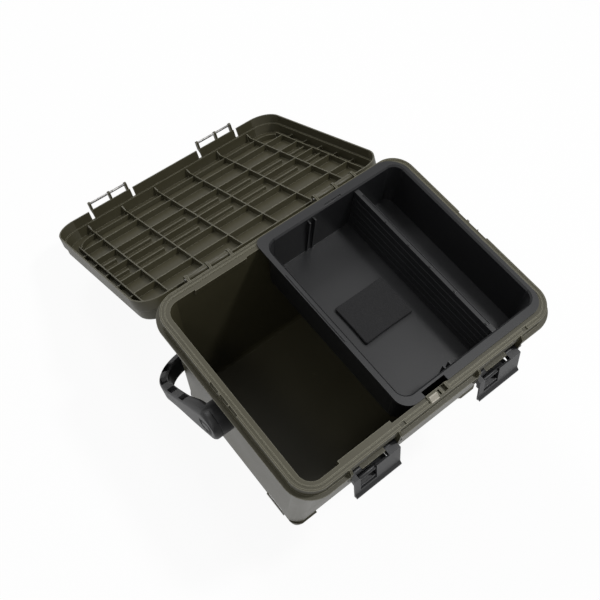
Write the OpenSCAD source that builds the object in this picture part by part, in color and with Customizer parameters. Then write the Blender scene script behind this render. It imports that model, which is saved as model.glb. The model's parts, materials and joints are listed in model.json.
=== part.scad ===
// Hinged-lid fishing tackle box with a lift-out tray, two front latches and a swinging carry handle.
// X runs along the front, +Y points to the hinge side and Z is up. The origin is on the underside, midway
// along the rim lip both ways. The model is drawn as the box stands open: lid laid back past its hinges,
// handle folded down behind, latches hanging loose.

/* [Body] */
// Length over the rim lip, along X
rim_l = 440; // [420:5:480]
// Depth over the rim lip, along Y
rim_d = 330; // [310:5:370]
// Height from the underside to the top of the rim lip
body_h = 298; // [280:2:330]
// Thickness of the body walls
wall_t = 3; // [2.4:0.1:3.6]
// Inward lean of the end walls, in millimetres per millimetre of height
draft = 0.05; // [0.03:0.005:0.06]
// Inward lean of the front wall
draft_front = 0.072; // [0.04:0.004:0.08]
// Inward lean of the back wall
draft_back = 0.03; // [0.015:0.005:0.04]
// Corner radius of the rim lip
rim_r = 35; // [30:1:40]
// Corner radius of the opening
opening_r = 20; // [17:0.5:24]
// Width of the rim's flat top at each end
rim_side_w = 14; // [13:0.5:17]
// Width of the rim's flat top along the front
rim_front_w = 13; // [12.5:0.5:16]
// Width of the rim's flat top along the back
rim_back_w = 14.5; // [13.5:0.5:18]
// Height of the rim lip
lip_h = 16; // [14:0.5:18]
// Thickness of the rim lip
lip_t = 3; // [2.4:0.1:3.6]
// Reach of the flange beyond the rim lip
flange_w = 6; // [5:0.5:7]
// Thickness of the flange
flange_t = 3; // [2.4:0.1:3.6]
// Height of the sealing bead and lip edge over the rim's flat top
bead_h = 1; // [0.6:0.1:1.4]
// Thickness of the moulded floor
floor_t = 3.5; // [3:0.1:4.5]
// Depth of the ribs under the floor
base_rib_h = 8.5; // [6:0.5:10]
// Inset of the rounded lower edge
edge_inset = 9; // [6:0.5:10]
// Height of the rounded lower edge
edge_h = 25; // [20:1:32]

/* [Feet and lock] */
// How far a foot pad stands out from the front or back wall
foot_out = 3.5; // [2:0.1:4.5]
// Length of a foot pad along the front or back
foot_l = 42; // [36:1:50]
// Length of a foot pad along the end
foot_w = 27; // [24:1:32]
// Height of a foot pad
foot_h = 15; // [12:0.5:18]
// Length of the strap slot beside a foot pad
strap_l = 36; // [26:1:38]
// Width of the padlock boss in the front rim
lock_w = 35; // [32:1:42]

/* [Lid] */
// Height of the closed lid above the rim lip
lid_rise = 22; // [20:0.5:26]
// Thickness of the lid's top
lid_top_t = 4; // [3:0.1:5]
// Thickness of the lid's skirt
skirt_t = 2.2; // [1.8:0.1:2.6]
// Clearance between the skirt and the rim lip
skirt_gap = 0.8; // [0.7:0.05:1]
// Thickness of a stiffening rib
rib_t = 1.8; // [1.4:0.1:2.4]
// Depth of the tall stiffening ribs
rib_h = 11; // [9:0.5:13]
// Depth of the low stiffening ribs
low_rib_h = 6; // [4:0.5:8]
// Spacing of the ribs that run from front to back
rib_pitch_x = 66.5; // [62:0.5:68]
// Spacing of the ribs that run from end to end
rib_pitch_y = 47.5; // [44:0.5:50]
// Angle the open lid has turned from shut
lid_open_deg = 210; // [205:1:214]

/* [Hinges] */
// Distance of the hinge axis behind the rim lip
hinge_out = 16.3; // [15.8:0.1:17.5]
// Depth of the hinge axis below the rim lip
hinge_drop = 24.1; // [23:0.1:26]
// Distance of each hinge from the middle
hinge_x = 114; // [100:1:125]
// Length of each hinge pin
hinge_pin_l = 78; // [66:1:90]
// Radius of the hinge pins
hinge_pin_r = 2.5; // [2:0.1:2.8]
// Radius of the lid's hinge barrels
barrel_r = 5; // [4.6:0.1:5.4]

/* [Handle] */
// Depth of the handle axis below the rim lip
handle_drop = 70; // [66:0.5:74]
// Distance of the handle axis behind the middle
handle_y = 8; // [4:0.5:12]
// Distance from the handle axis to the middle of the crossbar
handle_l = 205; // [201:1:215]
// Radius of the handle bosses
boss_r = 24; // [20:0.5:24.5]
// Thickness of the handle arms
arm_t = 15.5; // [14:0.5:17]
// Width of the handle arms and crossbar
bar_w = 25; // [22:0.5:26]
// Clearance between the handle arms and the flange
arm_gap = 3.5; // [2:0.5:5]
// Outer corner radius of the handle
handle_r = 80; // [76:1:84]
// Inner corner radius of the handle
handle_in_r = 50; // [46:1:52]
// Distance from the back wall to the middle of the folded crossbar
handle_stand = 13.5; // [13:0.5:16]
// Radius of the handle's pivot pins
pivot_r = 7; // [5:0.5:9]

/* [Latches] */
// Distance of each latch from the middle
latch_x = 110; // [100:1:130]
// Width of a latch lever
lever_w = 77; // [74:1:80]
// Length of a latch lever below its pin
lever_h = 41; // [36:1:46]
// Thickness of a latch lever
lever_t = 2.5; // [2:0.1:3]
// Angle a loose lever hangs out from its shut position
lever_rest_deg = 12; // [8:1:15]
// Radius of the latch pins and catch rods
latch_pin_r = 2; // [1.7:0.05:2.2]
// Radius of the pins in the latch claws
claw_pin_r = 1.5; // [1.2:0.05:1.7]
// Width of a latch claw
claw_w = 26; // [22:0.5:28]
// Depth of the shut catch rods below the rim lip
rod_drop = 26; // [25:0.5:27]

/* [Tray] */
// Left edge of the tray's rim, left of the middle
tray_left = 49.5; // [30:0.5:70]
// Depth of the tray from the rim lip to the tray floor
tray_depth = 77; // [60:1:100]
// Thickness of the tray's walls and floor
tray_t = 2.2; // [1.6:0.1:2.8]
// Thickness of the tray's rim
tray_rim_t = 2.7; // [2:0.1:3.4]
// Inset of the tray's walls at the floor
tray_lean = 4; // [3:0.5:6]
// Clearance between the tray and the opening of the body
tray_gap = 1.3; // [1:0.1:2]
// Middle of the divider, right of the middle of the box
divider_x = 125.5; // [100:0.5:150]
// Width of the divider's top bar
divider_top_w = 7.5; // [6:0.5:10]
// Width of the divider at the tray floor
divider_foot_w = 19; // [16:0.5:26]
// Number of ledges down each side of the divider
divider_ledges = 6; // [4:1:8]
// Width of the pad in the tray
pad_w = 89; // [70:1:95]
// Depth of the pad in the tray
pad_d = 71; // [60:1:90]
// Thickness of the pad
pad_t = 7; // [4:0.5:12]

/* [Fits] */
// Radial clearance of a pin that something turns on
turn_fit = 0.05; // [0.03:0.01:0.09]
// Radial clearance of a pin seated in its holder
seat_fit = 0.02; // [0.01:0.01:0.03]
// Gap between flat faces that slide past each other
side_gap = 0.5; // [0.3:0.1:0.8]
// Gap where one loose piece rests on another
rest_gap = 0.3; // [0.1:0.05:0.4]

/* [Hidden] */
$fn = 64;
eps = 0.01;
olive = [0.36, 0.35, 0.28];
black = [0.13, 0.13, 0.14];
steel = [0.62, 0.62, 0.6];

// Rim and opening
lip_x = rim_l / 2;
lip_y = rim_d / 2;
open_x = lip_x - rim_side_w;
open_front = -(lip_y - rim_front_w);
open_back = lip_y - rim_back_w;
rim_top = body_h - bead_h;
lip_bottom = body_h - lip_h;
flange_bottom = lip_bottom - flange_t;
floor_z = base_rib_h + floor_t;
bead_in = 6;
bead_w = 1.6;
ledge_x = 71.5;
ledge_l = 85.5;
ledge_w = 4.3;

// Feet and strap slots
sole_t = 4;
strap_in = 6.5;
strap_bar_t = 1.4;

// Walls, measured at the height of the rim lip
wall_x = open_x + wall_t;
wall_front = open_front - wall_t;
wall_back = open_back + wall_t;
wall_r = opening_r + wall_t;

// Hinge
hinge_y = lip_y + hinge_out;
hinge_z = body_h - hinge_drop;
ear_t = 4;
ear_r = barrel_r + 1.5;
hinge_gap = 0.6;

// Lid, drawn shut and then turned open about the hinge axis
skirt_z = lip_bottom + side_gap;
skirt_in_x = lip_x + skirt_gap;
skirt_in_y = lip_y + skirt_gap;
lid_side_t = 3;
lid_z = body_h + lid_rise;
lid_under = lid_z - lid_top_t;
shoulder_in = 2.5;
lid_front = -(skirt_in_y + skirt_t);

// Padlock boss
lock_x0 = 3 - lock_w / 2;
lock_rise = 3;
lock_y0 = lid_side_t + side_gap - skirt_in_y;

// Handle
pivot_z = body_h - handle_drop;
arm_in = lip_x + flange_w + arm_gap;
arm_out = arm_in + arm_t;
folded_y = wall_back - draft_back * handle_drop + handle_stand - handle_y;
handle_rest_deg = atan(draft_back) + acos(folded_y / (handle_l * norm([1, draft_back])));
housing_x = wall_x + 1;
housing_t = 2.7;
boss_in = housing_x + housing_t + rest_gap;

// Latch, in the plane across the box
pin_y = -lip_y - 0.5;
pin_z = body_h - 35;
rod_y = lid_front - 2;
rod_z = body_h - rod_drop;
claw_dy = -7.5;
claw_dz = -6;
lever_in = 9.5;
cheek_t = 3;
lever_left = -lever_w / 2 - 0.75;
lever_right = lever_w / 2 - 0.75;
claw_left = lever_left + 10;
claw_right = claw_left + claw_w;
lug_w = 4;
lug_x = [lever_left + 0.5, claw_right + 2.5, lever_right - 6];
barrel_len = 18.5;
pan_y = pin_y - 0.7;
pan_t = 1.2;
pan_top = pin_z - 12;

// Tray
tray_x0 = -tray_left;
tray_x1 = lip_x - 9.7;
tray_y0 = -(lip_y - 12.5);
tray_y1 = skirt_in_y - lid_side_t - side_gap;
tray_floor = body_h - tray_depth;
tray_in_x0 = tray_x0 + 10;
tray_in_x1 = open_x - tray_gap - tray_t;
tray_in_y0 = tray_y0 + 14;
tray_in_y1 = open_back - 0.6 - tray_t;
tray_in_r = opening_r - 4;
tray_flare = 2.5;
divider_top = body_h - 3;
pad_x = 48.5;
pad_y = 5.5;

// A box with upright corner arcs whose four sides lean out by the same amount from bottom to top.
module leaning_box(x0, x1, y0, y1, r, lean, z0, z1) {
    h = z1 - z0;
    for (x = [x0 + r, x1 - r], y = [y0 + r, y1 - r])
        translate([x, y, z0]) cylinder(h = h, r1 = r - lean, r2 = r);
    translate([0, y1 - r, 0]) rotate([90, 0, 0]) linear_extrude(y1 - y0 - 2 * r)
        polygon([[x0 + lean, z0], [x1 - lean, z0], [x1, z1], [x0, z1]]);
    translate([x0 + r, 0, 0]) rotate([90, 0, 90]) linear_extrude(x1 - x0 - 2 * r)
        polygon([[y0 + lean, z0], [y1 - lean, z0], [y1, z1], [y0, z1]]);
}

// The same box, centred both ways and with upright sides.
module upright_box(hx, hy, r, z0, z1) {
    leaning_box(-hx, hx, -hy, hy, r, 0, z0, z1);
}

// A profile in the Y-Z plane, extruded from x0 to x1.
module across(x0, x1) {
    translate([x0, 0, 0]) rotate([90, 0, 90]) linear_extrude(x1 - x0) children();
}

// A round bar along X.
module rod_x(x0, x1, y, z, r) {
    translate([x0, y, z]) rotate([0, 90, 0]) cylinder(h = x1 - x0, r = r);
}

// How far the rounded lower edge pulls in at a share of its height, from the bottom up.
edge_curve = [[0, 1], [0.2, 0.5], [0.5, 0.16], [1, 0]];

// One side of the body in section, from the bottom up: out is how far it stands from the middle at the rim.
function side_line(out, lean, z0, z1, edge) = concat(
    [for (p = edge_curve) let (z = z0 + p[0] * (edge_h - z0)) [out - lean * (body_h - z) - p[1] * edge, z]],
    [[out - lean * (body_h - z1), z1]]);

function mirrored(points) = [for (k = [len(points) - 1 : -1 : 0]) [-points[k][0], points[k][1]]];

// What lies outside an upright edge rounded to radius r between two leaning walls, in the +X +Y quarter. The
// rounding is a cylinder that leans with both walls and stands eps proud, so that it crosses them cleanly.
module corner_waste(x_out, y_out, lean_x, lean_y, r, z0, z1) {
    ax = x_out - r * norm([1, lean_x]);
    ay = y_out - r * norm([1, lean_y]);
    slip_x = lean_x * r * lean_y / norm([1, lean_y]);
    slip_y = lean_y * r * lean_x / norm([1, lean_x]);
    far = r + 10;
    below = body_h - z0 + 10;
    above = z1 - body_h + 10;
    difference() {
        intersection() {
            translate([0, ay + far, 0]) rotate([90, 0, 0]) linear_extrude(2 * far)
                polygon([[ax + slip_x - lean_x * below, body_h - below], [ax + far, body_h - below],
                    [ax + far, body_h + above], [ax + slip_x + lean_x * above, body_h + above]]);
            across(ax - far, ax + far)
                polygon([[ay + slip_y - lean_y * below, body_h - below], [ay + far, body_h - below],
                    [ay + far, body_h + above], [ay + slip_y + lean_y * above, body_h + above]]);
        }
        translate([ax, ay, body_h]) rotate([0, atan(norm([lean_x, lean_y])), atan2(lean_y, lean_x)])
            translate([0, 0, -below - 5]) cylinder(h = below + above + 10, r = r + eps);
    }
}

// The body's form between two heights, set in from the outside by inset and with a rounded lower edge.
module body_form(inset, z0, z1, edge) {
    r = wall_r - inset;
    x_out = wall_x - inset;
    front = side_line(-wall_front - inset, draft_front, z0, z1, edge);
    back = side_line(wall_back - inset, draft_back, z0, z1, edge);
    end = side_line(x_out, draft, z0, z1, edge);
    difference() {
        intersection() {
            across(-wall_x - 10, wall_x + 10) polygon(concat(back, mirrored(front)));
            translate([0, lip_y + 10, 0]) rotate([90, 0, 0]) linear_extrude(rim_d + 20)
                polygon(concat(end, mirrored(end)));
        }
        for (sx = [0, 1]) mirror([sx, 0, 0]) {
            corner_waste(x_out, wall_back - inset, draft, draft_back, r, z0, z1);
            mirror([0, 1, 0]) corner_waste(x_out, -wall_front - inset, draft, draft_front, r, z0, z1);
        }
    }
}

module body_outside() {
    body_form(0, 0, body_h - bead_h - eps, edge_inset);
}

module body_inside() {
    body_form(wall_t, floor_z, body_h + 1, edge_inset * 0.6);
}

// The hollow rim: a flat top, a lip hanging from its edge and a flange round the foot of the lip.
module rim() {
    difference() {
        union() {
            upright_box(lip_x, lip_y, rim_r, lip_bottom - eps, body_h);
            upright_box(lip_x + flange_w, lip_y + flange_w, rim_r + flange_w, flange_bottom, lip_bottom);
        }
        upright_box(lip_x - lip_t, lip_y - lip_t, rim_r - lip_t, flange_bottom - 1, rim_top - lip_t);
        difference() {
            upright_box(lip_x - lip_t * 0.8, lip_y - lip_t * 0.8, rim_r - lip_t * 0.8, rim_top, body_h + 1);
            difference() {
                upright_box(lip_x - bead_in, lip_y - bead_in, rim_r - bead_in, rim_top - 1, body_h);
                upright_box(lip_x - bead_in - bead_w, lip_y - bead_in - bead_w, rim_r - bead_in - bead_w,
                    rim_top - 2, body_h + 1);
            }
        }
    }
}

// Webs between the wall and the lip, under the rim's flat top.
module rim_webs() {
    web_t = 2;
    for (x = [-150 : 60 : 150], side = [-1, 1])
        translate([x - web_t / 2, side > 0 ? wall_back - wall_t / 2 : -lip_y + lip_t / 2, lip_bottom])
            cube([web_t, side > 0 ? lip_y - lip_t / 2 - wall_back + wall_t / 2
                : wall_front + wall_t / 2 + lip_y - lip_t / 2, lip_h - bead_h - eps]);
    for (y = [-90 : 60 : 90], side = [-1, 1])
        translate([side > 0 ? wall_x - wall_t / 2 : -lip_x + lip_t / 2, y - web_t / 2, lip_bottom])
            cube([rim_side_w - lip_t / 2 - wall_t / 2, web_t, lip_h - bead_h - eps]);
}

// Three ears a side carry each hinge pin; the skirt of the open lid comes to rest on their sloping heels.
module hinge_ears() {
    foot_y = wall_back - wall_t / 2 - draft_back * 50;
    back = lid_open_deg - 180;
    reach = hinge_out - skirt_gap - skirt_t - rest_gap;
    heel = [for (d = [12, 24]) [hinge_y + reach * cos(back) - d * sin(back),
        hinge_z - reach * sin(back) - d * cos(back)]];
    for (side = [-1, 1], k = [-1, 0, 1])
        let (mid = side * hinge_x + k * (hinge_pin_l / 2 - ear_t / 2 - 1))
            difference() {
                union() {
                    rod_x(mid - ear_t / 2, mid + ear_t / 2, hinge_y, hinge_z, ear_r);
                    across(mid - ear_t / 2, mid + ear_t / 2)
                        polygon([[foot_y, flange_bottom + 1], [lip_y + flange_w - 1, flange_bottom + 1],
                            [hinge_y, hinge_z + ear_r], [hinge_y + ear_r * 0.5, hinge_z - ear_r * 0.866],
                            heel[0], heel[1], [foot_y, hinge_z - 52]]);
                }
                rod_x(mid - ear_t, mid + ear_t, hinge_y, hinge_z, hinge_pin_r + seat_fit);
            }
}

// Cheeks, a short shelf and a middle ear carry each latch pin.
module latch_bracket(xc) {
    wall_y = wall_front + wall_t / 2 + draft_front * 25;
    difference() {
        union() {
            for (x = [lever_left - side_gap - cheek_t, lever_right + side_gap])
                across(xc + x, xc + x + cheek_t)
                    polygon([[wall_y, pin_z - 6], [pin_y - 3, pin_z - 6], [pin_y - 5.5, pin_z - 3],
                        [pin_y - 5.5, body_h - 8], [-lip_y - 1, body_h - 2.5], [-lip_y + 1, body_h - 2.5],
                        [wall_y, flange_bottom + 4]]);
            translate([xc + lever_left + barrel_len + side_gap, pin_y - 3.5, pin_z + 2])
                cube([lever_w - 2 * barrel_len - 2 * side_gap, wall_y - pin_y + 3.5, 2.5]);
            translate([xc - 8, pin_y - 3.5, pin_z - 4]) cube([cheek_t, wall_y - pin_y + 3.5, 7]);
        }
        rod_x(xc + lever_left - 6, xc + lever_right + 6, pin_y, pin_z, latch_pin_r + seat_fit);
    }
}

// A block in the front rim that carries the padlock fitting.
module lock_boss() {
    translate([lock_x0, -lip_y + 1, rim_top - 6]) cube([lock_w, rim_front_w + 1, 6]);
    translate([lock_x0, lock_y0, rim_top - 1]) cube([lock_w, rim_front_w - 2.5, 1 + lock_rise]);
}

// The recess, the slot and the seat of the pale plate in that block.
module lock_cuts() {
    cut_h = 4 + lock_rise + 1;
    translate([lock_x0 + lock_w - 12, -lip_y + 3, rim_top - 4]) cube([8, rim_front_w - 3, cut_h]);
    translate([lock_x0 + lock_w - 18, -lip_y + 3, rim_top - 4]) cube([3, 8, cut_h]);
    translate([lock_x0 + 1.5, -lip_y - 1, rim_top - 1]) cube([lock_w - 21.5, 10.5, cut_h]);
}

// Ribs under the floor; the outer walls and the ribs end in one flat face that the box stands on.
module base_pockets() {
    rib = 3;
    y0 = wall_front + draft_front * body_h + edge_inset + 14;
    y1 = wall_back - draft_back * body_h - edge_inset - 14;
    half_x = wall_x - draft * body_h - edge_inset - 14;
    half_y = (y1 - y0) / 2;
    mid_y = (y1 + y0) / 2;
    nx = 4;
    ny = 2;
    px = (2 * half_x) / nx;
    py = (2 * half_y) / ny;
    for (i = [0 : nx - 1], j = [0 : ny - 1])
        translate([-half_x + i * px + rib / 2, mid_y - half_y + j * py + rib / 2, -1])
            cube([px - rib, py - rib, base_rib_h + 1]);
}

// The lower corner of the body that a foot pad covers, up to height h; sy is 1 at the back and -1 at the front.
module foot_corner(sy, h, clear) {
    end = wall_x - draft * body_h;
    side = sy > 0 ? wall_back - draft_back * body_h : -wall_front - draft_front * body_h;
    for (sx = [0, 1]) mirror([sx, 0, 0])
        translate([end - foot_l + clear, sy > 0 ? side - foot_w + clear : -side - foot_l, -1])
            cube([foot_l * 2, foot_w + foot_l - clear, h + 1]);
}

// A pocket low in each end wall, next to each foot, with a thin bar across it for a strap.
module strap_place(sy) {
    side = sy > 0 ? wall_back - draft_back * body_h : -wall_front - draft_front * body_h;
    for (sx = [0, 1]) mirror([sx, 0, 0])
        translate([wall_x - draft * (body_h - edge_h), sy * (side - foot_w - strap_l / 2 - strap_bar_t), 0])
            children();
}

module strap_cuts() {
    for (sy = [-1, 1]) strap_place(sy)
        rotate([90, 0, 0]) translate([0, 0, -strap_l / 2]) linear_extrude(strap_l)
            polygon([[-strap_in, -1], [10, -1], [10, edge_h + 5], [0, edge_h + 5], [-strap_in, edge_h]]);
}

module strap_blocks() {
    for (sy = [-1, 1]) strap_place(sy)
        translate([-strap_in - wall_t, -strap_l / 2 - wall_t, floor_z - 1])
            cube([strap_in, strap_l + 2 * wall_t, edge_h + 8 - floor_z]);
}

module strap_bars() {
    for (sy = [-1, 1]) strap_place(sy)
        translate([-strap_bar_t - 1.6, -strap_l / 2 - wall_t, edge_h * 0.2])
            cube([strap_bar_t, strap_l + 2 * wall_t, 7]);
}

// Ledges inside the opening, in front of and behind the left bay and across from it.
module rim_ledges() {
    for (sx = [0, 1]) mirror([sx, 0, 0])
        across(-ledge_x - ledge_l, -ledge_x)
            polygon([[open_front - 1, rim_top - 14], [open_front + ledge_w, rim_top - 9],
                [open_front + ledge_w, body_h - bead_h], [open_front - 1, body_h - bead_h]]);
    across(-ledge_x - ledge_l, -ledge_x)
        polygon([[open_back + 1, rim_top - 14], [open_back - ledge_w / 2, rim_top - 10],
            [open_back - ledge_w / 2, body_h - bead_h], [open_back + 1, body_h - bead_h]]);
}

module body_shell() {
    color(olive) difference() {
        union() {
            difference() {
                union() {
                    body_outside();
                    rim();
                    rim_webs();
                    hinge_ears();
                    for (xc = [-latch_x, latch_x]) latch_bracket(xc);
                    lock_boss();
                    for (side = [-1, 1])
                        rod_x(side > 0 ? wall_x - wall_t - 2 : -housing_x, side > 0 ? housing_x : -wall_x + wall_t + 2,
                            handle_y, pivot_z, boss_r + 1);
                }
                body_inside();
            }
            rim_ledges();
            strap_blocks();
        }
        strap_cuts();
        base_pockets();
        for (sy = [-1, 1]) foot_corner(sy, sole_t, 0);
        lock_cuts();
        // flange cut away over the latches
        for (xc = [-latch_x, latch_x])
            translate([xc + lever_left - side_gap, -lip_y - flange_w - 1, flange_bottom - 1])
                cube([lever_w + 2 * side_gap, flange_w + 1 - eps, lip_h - 6]);
        // a pocket in the rim on the right of each latch
        for (xc = [-latch_x, latch_x])
            translate([xc + lever_right + side_gap + cheek_t + 3, -lip_y + 1, rim_top - 2.2]) cube([9, 5.5, 5]);
        // three notches in each end of the lip, over the handle bosses
        for (side = [-1, 1], y = [21, 0, -18.5])
            translate([side > 0 ? lip_x - 2 : -lip_x - 1, y - 9, body_h - 6]) cube([3, 17, 7]);
        // slots in the back rim
        for (x = [[-14, 17], [8, 9]])
            translate([x[0], lip_y - 5.5, rim_top - 2]) cube([x[1], 2.6, 5]);
        rod_x(-lip_x, lip_x, handle_y, pivot_z, pivot_r + seat_fit);
    }
    color(olive) strap_bars();
}

module corner_feet() {
    color(olive) for (sy = [-1, 1])
        difference() {
            intersection() {
                translate([0, sy * foot_out, 0]) body_form(0, 0, body_h, edge_inset);
                foot_corner(sy, foot_h, 0.15);
            }
            difference() {
                body_form(-0.1, 0, body_h, edge_inset);
                foot_corner(sy, sole_t - 0.15, -1);
            }
        }
}

module lock_plate() {
    x0 = lock_x0 + 1.6;
    y0 = -lip_y + 1.1;
    color([0.55, 0.53, 0.48])
        across(x0, x0 + lock_w - 21.7)
            polygon([[y0, rim_top - 1 + eps], [y0 + 8.3, rim_top - 1 + eps], [y0 + 8.3, rim_top + lock_rise + 1.4],
                [y0 + 6.6, rim_top + lock_rise + 1.4], [lock_y0, rim_top + 1], [y0, rim_top + 1]]);
}

module pivot_housing(side) {
    x0 = side > 0 ? housing_x + eps : -housing_x - housing_t;
    color(black) difference() {
        rod_x(x0, x0 + housing_t - eps, handle_y, pivot_z, boss_r);
        rod_x(-2 * lip_x, 2 * lip_x, handle_y, pivot_z, pivot_r + seat_fit);
    }
}

module pivot_pin(side) {
    inner = wall_x - wall_t - draft * handle_drop + 1;
    outer = arm_out - 4.5;
    color(steel) rod_x(side > 0 ? inner : -outer, side > 0 ? outer : -inner, handle_y, pivot_z, pivot_r);
}

// The bail lies in its own plane: u runs from the pivot to the crossbar and w across the bar.
module handle_bail() {
    bar_u1 = handle_l + arm_t / 2 + 2;
    bar_u0 = handle_l - arm_t / 2 - 2;
    in_x = arm_in - handle_in_r;
    bend_r = (handle_r + handle_in_r) / 2;
    color(black)
        translate([0, handle_y, pivot_z]) rotate([-handle_rest_deg, 0, 0])
            difference() {
                union() {
                    intersection() {
                        translate([0, 0, -boss_r]) linear_extrude(2 * boss_r) difference() {
                            union() {
                                translate([-arm_out, -boss_r]) square([2 * arm_out, bar_u1 + boss_r - handle_r]);
                                translate([-arm_out + handle_r, 0]) square([2 * (arm_out - handle_r), bar_u1]);
                                for (x = [-arm_out + handle_r, arm_out - handle_r])
                                    translate([x, bar_u1 - handle_r]) circle(r = handle_r);
                            }
                            translate([-arm_in, -boss_r - 1])
                                square([2 * arm_in, bar_u0 + boss_r + 1 - handle_in_r]);
                            translate([-in_x, 0]) square([2 * in_x, bar_u0]);
                            for (x = [-in_x, in_x]) translate([x, bar_u0 - handle_in_r]) circle(r = handle_in_r);
                        }
                        rotate([90, 0, 90]) translate([0, 0, -arm_out]) linear_extrude(2 * arm_out)
                            union() {
                                circle(r = boss_r);
                                polygon([[0, boss_r], [55, boss_r - 5], [120, bar_w / 2], [bar_u1 - 4, bar_w / 2],
                                    [bar_u1, bar_w / 2 - 5], [bar_u1, 5 - bar_w / 2], [bar_u1 - 4, -bar_w / 2],
                                    [120, -bar_w / 2], [55, 5 - boss_r], [0, -boss_r]]);
                            }
                    }
                    for (side = [-1, 1])
                        rod_x(side > 0 ? boss_in : -arm_in - 2, side > 0 ? arm_in + 2 : -boss_in, 0, 0, boss_r);
                }
                for (side = [-1, 1]) {
                    rod_x(side > 0 ? boss_in - 1 : -arm_out + 4, side > 0 ? arm_out - 4 : -boss_in + 1,
                        0, 0, pivot_r + turn_fit);
                    // pockets in the upper face of each arm and bend, and an oval recess by each boss
                    for (u = [72, 117])
                        translate([side * (arm_in + arm_t / 2) - 5, u - 7.5, bar_w / 2 - 5]) cube([10, 15, 12]);
                    for (turn = [11, 42])
                        translate([side * (arm_in + arm_t / 2 - bend_r), handle_l - bend_r, bar_w / 2 - 5])
                            rotate([0, 0, side > 0 ? turn : 180 - turn]) translate([bend_r - 4, -7, 0])
                                cube([8, 14, 6]);
                    translate([side > 0 ? arm_out - 1.5 : -arm_out - 1, 8, -4]) cube([2.5, 34, 8]);
                }
                // bevel along the edge of the crossbar that faces the wall
                translate([0, bar_u0, -bar_w / 2]) rotate([45, 0, 0])
                    cube([2 * in_x + 24, 9, 9], center = true);
            }
}

module hinge_pin(side) {
    mid = side * hinge_x;
    color(steel) rod_x(mid - hinge_pin_l / 2, mid + hinge_pin_l / 2, hinge_y, hinge_z, hinge_pin_r);
}

// Turns a piece drawn on the shut lid to where the open lid is.
module lid_open() {
    translate([0, hinge_y, hinge_z]) rotate([-lid_open_deg, 0, 0]) translate([0, -hinge_y, -hinge_z])
        children();
}

module lid_outside() {
    sx = skirt_in_x + skirt_t;
    sy = skirt_in_y + skirt_t;
    r = rim_r + skirt_gap + skirt_t;
    side = sx - shoulder_in;
    upright_box(sx, sy, r, skirt_z, body_h + 1.5);
    leaning_box(-side, side, -sy + shoulder_in, sy - shoulder_in, r - shoulder_in, -shoulder_in,
        body_h + 1.5, body_h + 4);
    upright_box(side, sy - shoulder_in, r - shoulder_in, body_h + 4 - eps, lid_z - 5);
    lid_round(side, sy - shoulder_in, r - shoulder_in, 0, 1.2, lid_z - 5, lid_z - 2);
    lid_round(side, sy - shoulder_in, r - shoulder_in, 1.2, 4.2, lid_z - 2, lid_z);
}

// A band of the lid's rounded top edge that narrows from inset in0 to inset in1.
module lid_round(hx, hy, r, in0, in1, z0, z1) {
    leaning_box(-hx + in1, hx - in1, -hy + in1, hy - in1, r - in1, in0 - in1, z0, z1);
}

// Tall ribs both ways, with a low rib across alternate cells and short webs out to the sides.
module lid_ribs() {
    bays = 3;
    rib_x = [for (k = [0.5 : 1 : bays]) each [-k * rib_pitch_x, k * rib_pitch_x]];
    rib_y = [for (k = [-2 : 2]) k * rib_pitch_y - 6];
    side_x = skirt_in_x - lid_side_t - 13.8;
    y0 = -skirt_in_y + lid_side_t + 3;
    y1 = skirt_in_y - lid_side_t - 3;
    slope_y = y1 - 27;
    top = lid_under + 0.5;
    tall = lid_under - rib_h;
    low_w = rib_pitch_x - 12.5;
    low_t = rib_t * 1.4;
    for (x = rib_x)
        across(x - rib_t / 2, x + rib_t / 2)
            polygon([[y0, top], [y0, body_h + 2], [y0 + 10, tall], [slope_y, tall],
                [y1, lid_under - rib_h * 0.35], [y1, top]]);
    for (x = [-side_x, side_x])
        across(x - rib_t / 2, x + rib_t / 2)
            polygon([[y0 + 32, top], [y0 + 40, tall], [slope_y, tall], [slope_y + 7, top]]);
    for (y = rib_y)
        translate([-side_x, y - rib_t / 2, tall]) cube([2 * side_x, rib_t, rib_h + 0.5]);
    for (k = [-1, 1]) {
        y = rib_y[2] + k * rib_pitch_y / 2 - 4;
        translate([-side_x, y - low_t / 2, lid_under - low_rib_h]) cube([low_w / 2, low_t, low_rib_h + 0.5]);
        for (x = rib_x)
            translate([x, y - low_t / 2, lid_under - low_rib_h])
                cube([min(low_w, side_x - x), low_t, low_rib_h + 0.5]);
    }
    for (side = [-1, 1], k = [-2 : 2])
        translate([side > 0 ? side_x : -skirt_in_x + 3, k * (rib_pitch_y - 3.5) - rib_t / 2, tall + 3])
            cube([skirt_in_x - 3 - side_x, rib_t, rib_h - 2.5]);
}

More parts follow.
